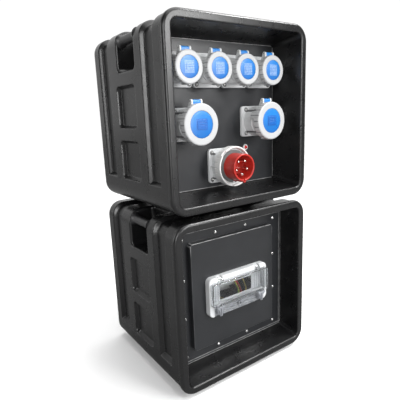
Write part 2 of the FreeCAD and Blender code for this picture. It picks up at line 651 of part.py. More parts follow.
def lamp():
    x, z = LAMP
    bezel = turned([(0, h_(-24)), (6.0, h_(-24)), (6.0, h_(0)), (7.4, h_(0)), (7.4, h_(1.8)), (6.4, h_(3.0)),
                    (4.6, h_(3.0)), (4.6, h_(-8)), (0, h_(-8))], x, z)
    lens = turned([(0, h_(6.4)), (2.0, h_(6.0)), (3.6, h_(4.8)), (4.5, h_(3.0)), (4.5, h_(-7.8)),
                   (0, h_(-7.8))], x, z)
    return bezel, lens


def wire(points, r):
    """Round wire along a smooth path of (x, d, z) points."""
    pts = [V(x, yy(d), z) for x, d, z in points]
    curve = Part.BSplineCurve()
    curve.interpolate(pts)
    path = Part.Wire([curve.toShape()])
    t = curve.tangent(curve.FirstParameter)[0]
    ring = Part.Wire([Part.makeCircle(r, pts[0], t)])
    return path.makePipeShell([ring], True, False)


def at_up(shapes):
    if isinstance(shapes, (list, tuple)):
        return [up(s, Z_UP) for s in shapes]
    return up(shapes, Z_UP)


save("device_plate", at_up(device_plate()))
save("upper_fixings", at_up(upper_fixings()))
carriers, sleeves, seals, hinge_pins = [], [], [], []
names = ["outlet_small_%d" % (i + 1) for i in range(len(SMALL_X))] + ["outlet_large_1", "outlet_large_2"]
for name, (x, z, p) in zip(names, device_places()):
    save(name + "_housing", at_up(outlet_housing(x, z, p)))
    save(name + "_lid", at_up(outlet_lid(x, z, p)))
    save(name + "_ring", at_up(outlet_ring(x, z, p)))
    body, tubes = outlet_carrier(x, z, p)
    carriers += [body, rear_cover(x, z, p)]
    sleeves += tubes
    seals.append(outlet_seal(x, z, p["fx"], p["fz"], p["sx"], p["sz"], p["rear"] + 0.5))
    hinge_pins.append(cyl_x(x - 15.2, x + 15.2, q_(p, hinge_q(p)), hinge_z(z, p), PIN_R))
housing, shroud, pins, seal, ring, carrier = inlet()
seals.append(outlet_seal(0, INLET_Z, INLET["fx"], INLET["fz"], INLET["sx"], INLET["sz"], INLET["rear"] + 0.5))
carriers.append(carrier)
save("contact_carriers", at_up(carriers))
save("contact_sleeves", at_up(sleeves))
save("upper_seals", at_up([ring_seal(UP_PLATE_D, UP_OPENING, UP_FIX, 3.3)] + seals))
save("lid_hinge_pins", at_up(hinge_pins))
save("inlet_housing", at_up(housing))
save("inlet_shroud", at_up(shroud))
save("inlet_pins", at_up(pins))
save("inlet_seal", at_up(seal))
save("inlet_ring", at_up(ring))
bezel, lens = lamp()
save("lamp_bezel", at_up(bezel))
save("lamp_lens", at_up(lens))


def upper_cables():
    """One sheathed cable behind each device, gathered low at the back of the module."""
    out = []
    ends = [-88.0, -52.0, 52.0, 88.0, -16.0, 18.0]
    for (x, z, p), e in zip(device_places(), ends):
        d0 = UP_PLATE_D + 46.4
        low = 60.0 if p is SMALL else 36.0
        a = z - CABLE_DROP
        out.append(wire([(x, d0, a), (x, d0 + 30, a - 4), (x * 0.9 + e * 0.1, 262 if p is SMALL else 215, a - 62),
                         (e, 320 if p is SMALL else 286, 110), (e, 330 if p is SMALL else 296, low)], 5.0))
    d0 = UP_PLATE_D + 52.4
    out.append(wire([(0, d0, INLET_Z), (0, d0 + 30, INLET_Z - 3), (0, 222, 60), (0, 250, 28)], 9.0))
    return out


save("upper_cables", at_up(upper_cables()))


# ---------------------------------------------------------------- breaker module front
def frame_plate():
    s = plate(-PLATE_HX, PLATE_HX, PLATE_Z[0], PLATE_Z[1], 8, LOW_PLATE_D, LOW_PLATE_D + PLATE_T)
    cuts = [plate(-98, 98, 112, 300, 6, LOW_PLATE_D - 5, LOW_PLATE_D + 10)]
    cuts += [cyl(x, z, 2.15, 50, 80) for x, z in LOW_FIX]
    return s.cut(cuts)


WIN_SCREWS = [(i * 78.0, z) for i in (-1, 1) for z in (188.0, 231.0)]
RAISED_D = LOW_PLATE_D - RAISED_H
BEAM_D = RAISED_D - WIN_PROUD
FLOOR_D = RAISED_D - 2.0
RAIL_FRONT = RAISED_D - 13.0      # lower rail of the window, set back from the beam
PIVOT = (37.5, 245.5)             # window hinge, (d, z)


def raised_cover():
    x, (z0, z1) = RAISED_HX, RAISED_Z
    s = plate(-x, x, z0, z1, 9, RAISED_D, LOW_PLATE_D)
    s = s.makeFillet(1.8, [e for e in s.Edges if abs(e.BoundBox.YMax - yy(RAISED_D)) < 1e-6])
    s = s.cut(plate(-x + 2.5, x - 2.5, z0 + 2.5, z1 - 2.5, 6.5, RAISED_D + 2.5, LOW_PLATE_D + 5))
    cuts = [plate(-62, 62, 174, 229, 5, RAISED_D - 2, RAISED_D + 5)]
    cuts += [cyl(a, b, 1.65, 30, 60) for a, b in WIN_SCREWS]
    return s.cut(cuts)


def stem_slot(x, r, d0, d1, travel):
    """Upright slot with round ends, for the stem of a catch."""
    parts = [cyl(x, CATCH_Z, r, d0, d1), cyl(x, CATCH_Z - travel, r, d0, d1),
             box(x - r, x + r, d0, d1, CATCH_Z - travel, CATCH_Z)]
    return fuse(parts)


def window_base():
    z0, z1 = WIN_Z
    s = plate(-WIN_HX, WIN_HX, z0, z1, 12, BEAM_D, RAISED_D)
    s = s.makeFillet(2.2, [e for e in s.Edges if abs(e.BoundBox.YMax - yy(BEAM_D)) < 1e-6])
    cuts = [plate(-COVER_HX + 4, COVER_HX - 4, COVER_Z[0] + 1, COVER_Z[1] - 1, 4, BEAM_D - 5, FLOOR_D),
            plate(-SLOT_HX, SLOT_HX, SLOT_Z[0], SLOT_Z[1], 2, FLOOR_D - 2, RAISED_D + 2),
            plate(-WIN_HX + 12, WIN_HX - 12, z0 + 3, COVER_Z[0] - 2, 3, BEAM_D - 5, RAIL_FRONT)]
    bores, knuckles = [cyl(a, b, 1.65, 30, 60) for a, b in WIN_SCREWS], []
    for side in (-1, 1):
        x, c = side * HINGE_X, side * CATCH_X
        cuts.append(box(x - 7.5, x + 7.5, BEAM_D - 5, 43.0, COVER_Z[1] - 0.6, z1 + 5))
        knuckles.append(fuse([cyl_x(x - 4, x + 4, PIVOT[0], PIVOT[1], 3.6),
                              box(x - 4, x + 4, PIVOT[0], 44.0, PIVOT[1] - 3.6, PIVOT[1] + 3.6)]))
        bores.append(cyl_x(x - 11.5, x + 11.5, PIVOT[0], PIVOT[1], PIN_R))
        cuts.append(stem_slot(c, 4.0 + RUN, RAIL_FRONT - 5, RAISED_D - 1, CATCH_TRAVEL))
        cuts.append(box(c - 14, c + 14, BEAM_D - 5, RAIL_FRONT, z0 - 5, z0 + 10))
    s = s.cut(cuts)
    # loop for a lead seal, in the middle of the lower rail
    loop = cyl(0, CATCH_Z, 6.0, RAIL_FRONT - 6, RAIL_FRONT + 1).cut(cyl(0, CATCH_Z, 3.4, 20, RAIL_FRONT))
    ridge = [box(-48, 48, RAIL_FRONT - 1.2, RAIL_FRONT + 0.5, z, z + 1.6) for z in (z0 + 5, COVER_Z[0] - 6)]
    return s.fuse(knuckles + [loop] + ridge).cut(bores).removeSplitter()


def window_cover():
    (z0, z1), x = COVER_Z, COVER_HX
    f, b = BEAM_D - 11.0, BEAM_D - 0.4
    s = plate(-x, x, z0, z1, 7, f, b)
    s = s.makeFillet(2.6, [e for e in s.Edges if abs(e.BoundBox.YMax - yy(f)) < 1e-6])
    s = s.cut(plate(-x + 2, x - 2, z0 + 2, z1 - 2, 5, f + 2, b + 5))
    parts = [s]
    for side in (-1, 1):
        for a in (side * HINGE_X - 5.75, side * HINGE_X + 5.75):
            parts.append(prism_x([(f + 5, z1 - 1), (b, z1 - 1), (b, z1 + 1.0), (PIVOT[0] + 2, PIVOT[1] - 2),
                                  (PIVOT[0] - 1, PIVOT[1] + 3), (f + 8, z1 + 4)], a - 1.45, a + 1.45))
            parts.append(cyl_x(a - 1.45, a + 1.45, PIVOT[0], PIVOT[1], 3.3))
        parts.append(box(side * 72 - 0.8, side * 72 + 0.8, f + 1.5, f + 4.0, z0 + 2, z1 - 2))
    s = fuse(parts)
    return s.cut([cyl_x(-80, 80, PIVOT[0], PIVOT[1], PIN_R + RUN)])


def window_catch(x):
    """Sliding catch: a wide head under the edge of the cover and a pointed foot below the rail."""
    f, z, top = BEAM_D - 10.6, CATCH_Z, COVER_Z[0] - 1.0
    outline_pts = [(-11.5, top), (11.5, top), (11.5, top - 4.0), (6.0, top - 8.5), (3.2, z - 10.5), (-3.2, z - 10.5),
                   (-6.0, top - 8.5), (-11.5, top - 4.0)]
    foot = prism_y([(x + a, b) for a, b in outline_pts], f, f + 3.6)
    foot = foot.makeFillet(0.8, [e for e in foot.Edges if abs(e.BoundBox.YMax - yy(f)) < 1e-6])
    rib = box(x - 1.3, x + 1.3, f - 2.0, f + 1, z - 9.0, top - 3.0)
    shoulder = box(x - 8, x + 8, f + 3.0, RAIL_FRONT - 0.3, z - 4.0, top - 1.5)
    return fuse([foot, rib, shoulder, cyl(x, z, 4.0, f + 3.5, RAISED_D - 1.5)])


def lower_fixings():
    out = [pan_screw(x, z, 2.0, 4.3, LOW_PLATE_D, LOW_PLATE_D + 19) for x, z in LOW_FIX]
    out += [pan_screw(x, z, 1.6, 2.9, FLOOR_D, RAISED_D + 9) for x, z in WIN_SCREWS]
    out += [cyl_x(a - 11.5, a + 11.5, PIVOT[0], PIVOT[1], PIN_R) for a in (-HINGE_X, HINGE_X)]
    return out


def at_low(shapes):
    if isinstance(shapes, (list, tuple)):
        return [up(s, Z_LOW) for s in shapes]
    return up(shapes, Z_LOW)


save("frame_plate", at_low(frame_plate()))
save("frame_seal", at_low(ring_seal(LOW_PLATE_D, LOW_OPENING, LOW_FIX, 2.15)))
save("lower_fixings", at_low(lower_fixings()))
save("raised_cover", at_low(raised_cover()))
save("window_base", at_low(window_base()))
save("window_cover", at_low(window_cover()))
save("window_catch_1", at_low(window_catch(-CATCH_X)))
save("window_catch_2", at_low(window_catch(CATCH_X)))


# ---------------------------------------------------------------- switchgear behind the window
RAIL_D = 172.0
MID_Z = 0.5 * (SLOT_Z[0] + SLOT_Z[1])
MODULE = 17.5
GEAR_X = -62.0        # left end of the row of devices
NOSE_D = RAIL_D - 66.0


def din_rail():
    z = MID_Z
    pts = [(RAIL_D, z - 17.5), (RAIL_D, z - 12.5), (RAIL_D + 6.5, z - 12.5), (RAIL_D + 6.5, z + 12.5),
           (RAIL_D, z + 12.5), (RAIL_D, z + 17.5), (RAIL_D + 1, z + 17.5), (RAIL_D + 1, z + 13.5),
           (RAIL_D + 7.5, z + 13.5), (RAIL_D + 7.5, z - 13.5), (RAIL_D + 1, z - 13.5), (RAIL_D + 1, z - 17.5)]
    rail = prism_x(pts, -99.5, 99.5)
    d0 = LOW_PLATE_D + PLATE_T
    arm = fuse([box(100, 102, d0, RAIL_D + 9.5, z - 22, z + 22), box(102, 122, d0, d0 + 2, z - 22, z + 22),
                box(80, 102, RAIL_D + 7.5, RAIL_D + 9.5, z - 12, z + 12)])
    return [rail] + both(arm)


def gear_body(x0, x1, knob_x0, knob_x1):
    z = MID_Z
    pts = [(RAIL_D - 44, z - 42.5), (RAIL_D - 0.5, z - 42.5), (RAIL_D - 0.5, z + 42.5), (RAIL_D - 44, z + 42.5),
           (RAIL_D - 44, z + 22.5), (NOSE_D, z + 22.5), (NOSE_D, z - 22.5), (RAIL_D - 44, z - 22.5)]
    s = prism_x(pts, x0 + 0.1, x1 - 0.1)
    cuts = [box(knob_x0 - 0.4, knob_x1 + 0.4, NOSE_D - 3, NOSE_D + 14.5, z - 11, z + 11)]
    n = int(round((x1 - x0) / MODULE))
    for i in range(n):
        c = x0 + MODULE * (i + 0.5)
        for e in (-34.0, 34.0):
            cuts.append(cyl(c, z + e, 3.2, RAIL_D - 50, RAIL_D - 36))
            cuts.append(Part.makeCylinder(3.6, 13, V(c, yy(RAIL_D - 32), z + (42.6 if e > 0 else -42.6)),
                                          V(0, 0, -1 if e > 0 else 1)))
    return s.cut(cuts)


def toggle(x0, x1):
    """Rocker lever, shown switched on."""
    z, c = MID_Z, NOSE_D + 7.0
    hub = cyl_x(x0, x1, c, z, 6.4)
    lever = prism_x([(c - 2, z - 3.4), (c - 2, z + 3.4), (c - 15.5, z + 2.2), (c - 15.5, z - 2.2)], x0, x1)
    s = hub.fuse(lever)
    s.rotate(V(0, yy(c), z), V(1, 0, 0), -28)
    return s.removeSplitter()


gear = [(GEAR_X + MODULE * 3 + MODULE * i, GEAR_X + MODULE * 4 + MODULE * i) for i in range(3)]
save("din_rail", at_low(din_rail()))
rcd = (GEAR_X, GEAR_X + MODULE * 3)
rcd_body = gear_body(rcd[0], rcd[1], rcd[0] + 8, rcd[0] + 24)
button_at = (rcd[0] + 40.0, MID_Z + 6.0)
rcd_body = rcd_body.cut(cyl(button_at[0], button_at[1], 4.0 + RUN, NOSE_D - 2, NOSE_D + 9))
save("rcd_body", at_low(rcd_body))
save("rcd_toggle", at_low(toggle(rcd[0] + 8, rcd[0] + 24)))
save("rcd_button", at_low(cyl(button_at[0], button_at[1], 4.0, NOSE_D - 2.5, NOSE_D + 6)))
save("mcb_bodies", at_low([gear_body(a, b, 0.5 * (a + b) - 3, 0.5 * (a + b) + 3) for a, b in gear]))
for i, (a, b) in enumerate(gear):
    save("mcb_toggle_%d" % (i + 1), at_low(toggle(0.5 * (a + b) - 3, 0.5 * (a + b) + 3)))


def terminal_bar(x0, x1, z):
    d = 344.0
    bar = box(x0, x1, d, d + 8, z, z + 8)
    holes = [cyl(x0 + 8 + 9 * i, z + 4, 2.4, d - 2, d + 6) for i in range(int((x1 - x0 - 8) / 9))]
    feet = [box(x, x + 6, d + 8, D - WALL, z - 2, z + 10) for x in (x0 + 1, x1 - 7)]
    return [bar.cut(holes)] + feet


def lower_wires(kind):
    if kind == "earth":
        paths = [[(4, 158, 262), (9, 110, 240), (20, 86, 207), (34, 86, 176), (44, 120, 150), (46, 240, 128),
                  (44.5, 341, 124)],
                 [(-96, 330, 60), (-80, 250, 40), (-30, 180, 60), (8, 140, 110), (17.5, 250, 122), (17.5, 341, 124)]]
        r = 2.1
    elif kind == "line":
        paths = [[(14, 140, 246), (17, 106, 234), (28, 92, 205), (42, 94, 174), (60, 130, 150), (78, 230, 110),
                  (82, 330, 60)],
                 [(31.75, 140, 247.5), (33, 118, 262), (58, 104, 236), (66, 112, 190), (82, 160, 140),
                  (96, 300, 70)]]
        r = 1.9
    else:
        paths = [[(-20, 140, 249), (-6, 116, 262), (40, 100, 226), (52, 100, 190), (70, 140, 160), (60, 250, 160),
                  (44.5, 341, 164)],
                 [(-52, 140, 160), (-54, 120, 140), (-50, 200, 118), (-26, 280, 150), (-9.5, 341, 164)]]
        r = 1.9
    return [wire(p, r) for p in paths]


save("terminal_bars", at_low(terminal_bar(-60, 60, 120) + terminal_bar(-60, 60, 160)))
save("wire_earth", at_low(lower_wires("earth")))
save("wire_line", at_low(lower_wires("line")))
save("wire_neutral", at_low(lower_wires("neutral")))
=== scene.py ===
"""Looks for the portable power distribution box: materials, wires, floor, light and camera.

Lengths are in metres, +Z is up and the front faces -Y.
"""
import math

import bpy
from mathutils import Matrix, Vector


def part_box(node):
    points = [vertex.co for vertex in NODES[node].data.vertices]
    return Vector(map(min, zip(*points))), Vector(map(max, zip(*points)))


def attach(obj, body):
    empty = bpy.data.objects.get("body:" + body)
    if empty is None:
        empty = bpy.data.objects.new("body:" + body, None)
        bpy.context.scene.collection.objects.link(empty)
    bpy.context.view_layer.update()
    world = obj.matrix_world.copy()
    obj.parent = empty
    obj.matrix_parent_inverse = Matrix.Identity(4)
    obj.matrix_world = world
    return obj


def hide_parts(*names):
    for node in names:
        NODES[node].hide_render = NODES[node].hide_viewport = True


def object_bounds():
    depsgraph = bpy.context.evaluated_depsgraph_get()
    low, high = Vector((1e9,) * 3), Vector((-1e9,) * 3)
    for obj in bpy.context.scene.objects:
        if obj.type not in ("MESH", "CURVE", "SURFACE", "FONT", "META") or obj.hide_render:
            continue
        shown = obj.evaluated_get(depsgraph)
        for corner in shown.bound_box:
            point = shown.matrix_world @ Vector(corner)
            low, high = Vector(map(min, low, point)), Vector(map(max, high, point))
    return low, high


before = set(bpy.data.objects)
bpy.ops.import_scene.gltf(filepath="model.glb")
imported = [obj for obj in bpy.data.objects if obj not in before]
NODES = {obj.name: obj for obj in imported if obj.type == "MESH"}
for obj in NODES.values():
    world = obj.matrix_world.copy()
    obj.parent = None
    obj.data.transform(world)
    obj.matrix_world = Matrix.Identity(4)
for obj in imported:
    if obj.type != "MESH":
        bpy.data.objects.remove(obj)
cad_lo, cad_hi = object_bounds()


# ------------------------------------------------------------------ material helpers
MIX_FACTOR, MIX_A, MIX_B, MIX_RESULT = 0, 6, 7, 2  # a Mix node's sockets when it mixes colours
NOISE_ROUGHNESS = 0.55
MIDDLE, BROAD = (0.35, 0.65), (0.3, 0.7)  # ranges of noise that are spread over an effect
EDGE_COSINES = (0.985, 0.80)  # rounded against plain normal, where an edge starts and is full
BEVEL_SAMPLES = 6
GRAIN_DEPTH = 0.00004


class Graph:
    """A new material, with short calls that add nodes to it and link them."""

    def __init__(self, name):
        self.mat = bpy.data.materials.new(name)
        self.mat.use_nodes = True
        self.tree = self.mat.node_tree
        self.tree.nodes.clear()
        self.out = self.add("ShaderNodeOutputMaterial")
        self.bsdf = self.add("ShaderNodeBsdfPrincipled")
        self.link(self.bsdf.outputs[0], self.out.inputs["Surface"])
        self.coord = self.add("ShaderNodeTexCoord").outputs["Object"]

    def add(self, kind, **values):
        node = self.tree.nodes.new(kind)
        for key, value in values.items():
            setattr(node, key, value)
        return node

    def link(self, a, b):
        self.tree.links.new(a, b)

    def feed(self, socket, value):
        """Links a socket to another one, or gives it a plain value."""
        if isinstance(value, bpy.types.NodeSocket):
            self.link(value, socket)
        else:
            socket.default_value = value

    def set(self, name, value):
        self.feed(self.bsdf.inputs[name], value)

    def stretched(self, scale):
        node = self.add("ShaderNodeMapping")
        self.link(self.coord, node.inputs["Vector"])
        node.inputs["Scale"].default_value = scale
        return node.outputs[0]

    def noise(self, scale, detail=3.0, vector=None):
        node = self.add("ShaderNodeTexNoise")
        node.inputs["Scale"].default_value = scale
        node.inputs["Detail"].default_value = detail
        node.inputs["Roughness"].default_value = NOISE_ROUGHNESS
        self.link(vector or self.coord, node.inputs["Vector"])
        return node.outputs["Fac"]

    def spread(self, value, lo, hi, out_lo, out_hi):
        """A value from lo to hi, mapped to out_lo to out_hi and kept between them."""
        node = self.add("ShaderNodeMapRange")
        ends = {"From Min": lo, "From Max": hi, "To Min": out_lo, "To Max": out_hi}
        for name, number in ends.items():
            node.inputs[name].default_value = number
        self.link(value, node.inputs["Value"])
        return node.outputs["Result"]

    def cloud(self, scale, detail, most=1.0):
        """Soft patches between 0 and most."""
        return self.spread(self.noise(scale, detail), *MIDDLE, 0.0, most)

    def math(self, kind, a, b=None):
        node = self.add("ShaderNodeMath", operation=kind)
        for socket, value in zip(node.inputs, (a, b)):
            if value is not None:
                self.feed(socket, value)
        return node.outputs[0]

    def away(self, value, centre):
        """How far a value is from centre."""
        return self.math("ABSOLUTE", self.math("SUBTRACT", value, centre))

    def mix_colour(self, fac, a, b):
        node = self.add("ShaderNodeMix", data_type="RGBA")
        self.feed(node.inputs[MIX_FACTOR], fac)
        for index, value in ((MIX_A, a), (MIX_B, b)):
            plain = not isinstance(value, bpy.types.NodeSocket)
            self.feed(node.inputs[index], (*value, 1.0) if plain else value)
        return node.outputs[MIX_RESULT]

    def edges(self, radius):
        """0 on flats and up to 1 on edges and corners closer than radius, and the rounded normal."""
        bevel = self.add("ShaderNodeBevel", samples=BEVEL_SAMPLES)
        bevel.inputs["Radius"].default_value = radius
        plain = self.add("ShaderNodeNewGeometry")
        dot = self.add("ShaderNodeVectorMath", operation="DOT_PRODUCT")
        self.link(bevel.outputs[0], dot.inputs[0])
        self.link(plain.outputs["Normal"], dot.inputs[1])
        return self.spread(dot.outputs["Value"], *EDGE_COSINES, 0.0, 1.0), bevel.outputs[0]

    def axes(self, vector):
        """The three parts of a vector."""
        node = self.add("ShaderNodeSeparateXYZ")
        self.link(vector, node.inputs[0])
        return list(node.outputs)

    def within(self, value, centre, half, soft):
        """1 where a value is less than half from centre, fading out over soft."""
        return self.spread(self.away(value, centre), half, half - soft, 0.0, 1.0)

    def waves(self, value, pitch):
        """A sine wave along a value."""
        return self.math("SINE", self.math("MULTIPLY", value, 2 * math.pi / pitch))

    def bump(self, height, distance, normal=None, strength=1.0):
        node = self.add("ShaderNodeBump")
        node.inputs["Strength"].default_value = strength
        node.inputs["Distance"].default_value = distance
        self.link(height, node.inputs["Height"])
        if normal is not None:
            self.link(normal, node.inputs["Normal"])
        return node.outputs[0]

    def surface(self, base, rough, grain, depth=GRAIN_DEPTH, normal=None, gloss=(38.0, 5.0)):
        """Sets colour, roughness in clouds between two values and fine grain; returns the material."""
        self.set("Base Color", base)
        self.set("Roughness", self.spread(self.noise(*gloss), *BROAD, *rough))
        self.set("Normal", self.bump(self.noise(grain, 2.0), depth, normal))
        return self.mat


# ------------------------------------------------------------------ materials
ROUGH_SWING = 0.035
COAT_ROUGHNESS = 0.12
PANEL = (0.017, 0.018, 0.020)
PANEL_MOTTLE = 0.12
# The bright lines on the panels are painted highlights; below the top of a panel they fade to a lower
# strength.
PAINTED_HIGHLIGHT_COLOUR, LINE_HALF, LINE_SOFT = (0.36, 0.36, 0.36), 0.0009, 0.0004
LINE_FADE = 0.03  # height at the top of a panel over which its lines fade to low_highlight
# Lid blues: the shaded bottom and lit top of the disc's painted shading, and the painted highlight on
# its edges
LID_SHADED_BLUE, LID_LIT_BLUE, LID_EDGE_HIGHLIGHT = (0.004, 0.115, 0.40), (0.010, 0.19, 0.56), (0.30, 0.48, 0.80)
PAD_LINE_PITCH, PAD_SOFT = 0.0034, 0.0006
WELL_RADII, HEAD_RADII = (0.0052, 0.0056), (0.0016, 0.0022)  # where each one's shade ends
RIB_PITCH = 0.0075
RING_GRIPS = 20
TARNISH = 0.2


def moulded(name, colour, rough=0.45, grain=1400.0, depth=0.00006, mottle=0.12, edge=0.0009,
            wear_and_highlight=0.15, wear_and_highlight_colour=None, coat=0.0):
    """Moulded plastic or paint with fine grain, cloudy gloss, rounded edges and paler edges, part
    rubbed wear and part painted highlight.
    """
    g = Graph(name)
    darker = [c * (1 - mottle) for c in colour]
    paler = [min(1.0, c * (1 + mottle)) for c in colour]
    base = g.mix_colour(g.cloud(14.0, 4.0), darker, paler)
    mask, rounded = g.edges(edge)
    # paler edges: rubbed wear together with a painted highlight where the rounded edges would catch
    # the light
    worn_and_highlit = g.math("MULTIPLY", mask, g.spread(g.noise(160.0, 3.0), 0.4, 0.7, 0.0, wear_and_highlight))
    base = g.mix_colour(worn_and_highlit, base, wear_and_highlight_colour or [min(1.0, c * 1.6 + 0.05) for c in colour])
    if coat:
        g.set("Coat Weight", coat)
        g.set("Coat Roughness", COAT_ROUGHNESS)
    return g.surface(base, (rough - ROUGH_SWING, rough + ROUGH_SWING), grain, depth, rounded)


def panel_paint(name, node, insets, low_highlight=1.0):
    """Dark painted plate with painted highlights: bright lines at these distances inside its border.

    They stand for the bright edges that the photograph shows, and fade to low_highlight below the top.
    """
    g = Graph(name)
    across, _, upright = g.axes(g.coord)
    low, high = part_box(node)
    middle, half = (low + high) / 2, (high - low) / 2
    line = 0.0
    for inset in insets:
        for value, centre, reach in ((across, middle.x, half.x), (upright, middle.z, half.z)):
            border = g.within(g.away(value, centre), reach - inset, LINE_HALF, LINE_SOFT)
            line = g.math("MAXIMUM", line, border)
    # strength of the painted highlight lines: full at the top of the plate, lower below it, in random
    # patches
    highlight_strength = g.math("MULTIPLY", g.spread(g.noise(90.0, 3.0), 0.35, 0.6, 0.4, 1.0),
                  g.spread(upright, high.z - LINE_FADE, high.z, low_highlight, 1.0))
    base = g.mix_colour(g.cloud(14.0, 4.0), [c * (1 - PANEL_MOTTLE) for c in PANEL],
                        [c * (1 + PANEL_MOTTLE) for c in PANEL])
    # painted highlight lines over the plate's colour
    base = g.mix_colour(g.math("MULTIPLY", line, highlight_strength), base, PAINTED_HIGHLIGHT_COLOUR)
    return g.surface(base, (0.285, 0.355), 1600.0, normal=g.edges(0.0006)[1])


def lid_plastic(name, x, z, disc, pad, pad_colour):
    """Blue lid: painted shading makes it paler towards the top of the disc, with a finely patterned
    pad in the middle and a painted highlight on its edges.
    """
    g = Graph(name)
    across, _, upright = g.axes(g.coord)
    # painted shading: darker blue at the bottom of the disc, paler at the top
    base = g.mix_colour(g.spread(upright, z - disc, z + disc, 0.0, 1.0), LID_SHADED_BLUE, LID_LIT_BLUE)
    base = g.mix_colour(g.cloud(60.0, 4.0, 0.25), base, LID_SHADED_BLUE)
    inside = g.math("MULTIPLY", g.within(across, x, pad[0], PAD_SOFT),
                    g.within(upright, z, pad[1], PAD_SOFT))
    pattern = g.math("MULTIPLY", g.spread(g.waves(upright, PAD_LINE_PITCH), -0.4, 0.4, 0.35, 1.0),
                     g.spread(g.noise(420.0, 1.0), 0.40, 0.60, 0.5, 1.0))
    base = g.mix_colour(g.math("MULTIPLY", inside, pattern), base, pad_colour)
    # paler blue on the edges is a painted highlight
    mask, rounded = g.edges(0.0006)
    base = g.mix_colour(g.math("MULTIPLY", mask, 0.35), base, LID_EDGE_HIGHLIGHT)
    return g.surface(base, (0.27, 0.37), 1500.0, normal=rounded)


def housing_plastic(name, x, z, screw_x, screw_z):
    """Grey flanged housing with shade round the screw heads in its four corners."""
    g = Graph(name)
    across, _, upright = g.axes(g.coord)
    offset = [g.math("SUBTRACT", g.away(value, middle), reach)
              for value, middle, reach in ((across, x, screw_x), (upright, z, screw_z))]
    squares = [g.math("POWER", part, 2.0) for part in offset]
    away = g.math("SQRT", g.math("ADD", *squares))
    well = g.spread(away, *WELL_RADII, 0.85, 0.0)
    head = g.spread(away, *HEAD_RADII, 1.0, 0.0)
    base = g.mix_colour(g.cloud(25.0, 4.0, 0.25), (0.60, 0.61, 0.615), (0.48, 0.49, 0.50))
    shade = g.math("MULTIPLY", well, g.math("SUBTRACT", 1.0, head))
    base = g.mix_colour(shade, base, (0.03, 0.03, 0.032))
    # paler grey on the edges is a painted highlight
    mask, rounded = g.edges(0.0009)
    base = g.mix_colour(g.math("MULTIPLY", mask, 0.3), base, (0.75, 0.75, 0.75))
    return g.surface(base, (0.33, 0.43), 1800.0, normal=rounded)


def window_plastic(name, rail_top):
    """Pale window frame with dark stripes at its sides painted as the shade between ribs, smoky and
    streaked below rail_top, and painted highlights on its edges.
    """
    g = Graph(name)
    across, _, upright = g.axes(g.coord)
    streak = g.spread(g.noise(60.0, 3.0, g.stretched((1.0, 1.0, 6.0))), *MIDDLE, 0.0, 1.0)
    smoke = g.mix_colour(streak, (0.10, 0.11, 0.12), (0.30, 0.31, 0.33))
    pale = g.mix_colour(g.cloud(20.0, 3.0), (0.56, 0.57, 0.58), (0.64, 0.65, 0.66))
    rail = g.math("MULTIPLY", g.spread(upright, rail_top, rail_top - 0.0015, 0.0, 1.0),
                  g.within(across, 0.0, 0.078, 0.002))
    mask, rounded = g.edges(0.0012)
    base = g.mix_colour(rail, pale, smoke)
    # painted shade: dark stripes beside the slot stand for the shade between ribs
    rib_shade_stripes = g.spread(g.waves(across, RIB_PITCH), 0.1, 0.9, 0.0, 0.65)
    beside = g.math("MULTIPLY", g.spread(g.math("ABSOLUTE", across), 0.054, 0.056, 0.0, 1.0),
                    g.within(upright, rail_top + 0.030, 0.029, 0.001))
    base = g.mix_colour(g.math("MULTIPLY", rib_shade_stripes, beside), base, (0.22, 0.23, 0.25))
    # paler edges are a painted highlight
    base = g.mix_colour(g.math("MULTIPLY", mask, 0.35), base, (0.85, 0.86, 0.87))
    return g.surface(base, (0.30, 0.42), 1800.0, normal=rounded)


def ring_plastic(name, x, z):
    """White ring: painted shading makes the face paler and the skirt greyer, with dark slots of
    painted shade half a pitch off the CAD's grooves.
    """
    g = Graph(name)
    across, _, upright = g.axes(g.coord)
    facing = g.axes(g.add("ShaderNodeNewGeometry").outputs["Normal"])[1]
    skirt_shading_mask = g.spread(g.math("ABSOLUTE", facing), 0.75, 0.45, 0.0, 1.0)
    angle = g.math("ARCTAN2", g.math("SUBTRACT", upright, z), g.math("SUBTRACT", across, x))
    turns = g.math("COSINE", g.math("MULTIPLY", angle, float(RING_GRIPS)))
    slot_shade = g.math("MULTIPLY", skirt_shading_mask, g.spread(turns, 0.80, 0.95, 0.0, 1.0))
    # painted shading: greyer on the side-facing skirt, paler on the front-facing face
    base = g.mix_colour(skirt_shading_mask, (0.45, 0.455, 0.46), (0.52, 0.525, 0.53))
    base = g.mix_colour(g.cloud(30.0, 4.0, 0.12), base, (0.34, 0.35, 0.35))
    # dark slots are painted shade meant for the grip grooves, and land half a pitch off them
    base = g.mix_colour(g.math("MULTIPLY", slot_shade, 0.75), base, (0.07, 0.07, 0.075))
    return g.surface(base, (0.32, 0.42), 1800.0, normal=g.edges(0.0009)[1])


def earth_wire(name):
    """Green insulation with a yellow stripe along it."""
    g = Graph(name)
    side = g.axes(g.add("ShaderNodeTexCoord").outputs["Normal"])[0]
    stripe = g.spread(g.math("ABSOLUTE", side), 0.35, 0.45, 0.0, 1.0)
    base = g.mix_colour(stripe, (0.75, 0.62, 0.03), (0.06, 0.28, 0.05))
    return g.surface(base, (0.32, 0.46), 1800.0, 0.00003, gloss=(300.0, 3.0))


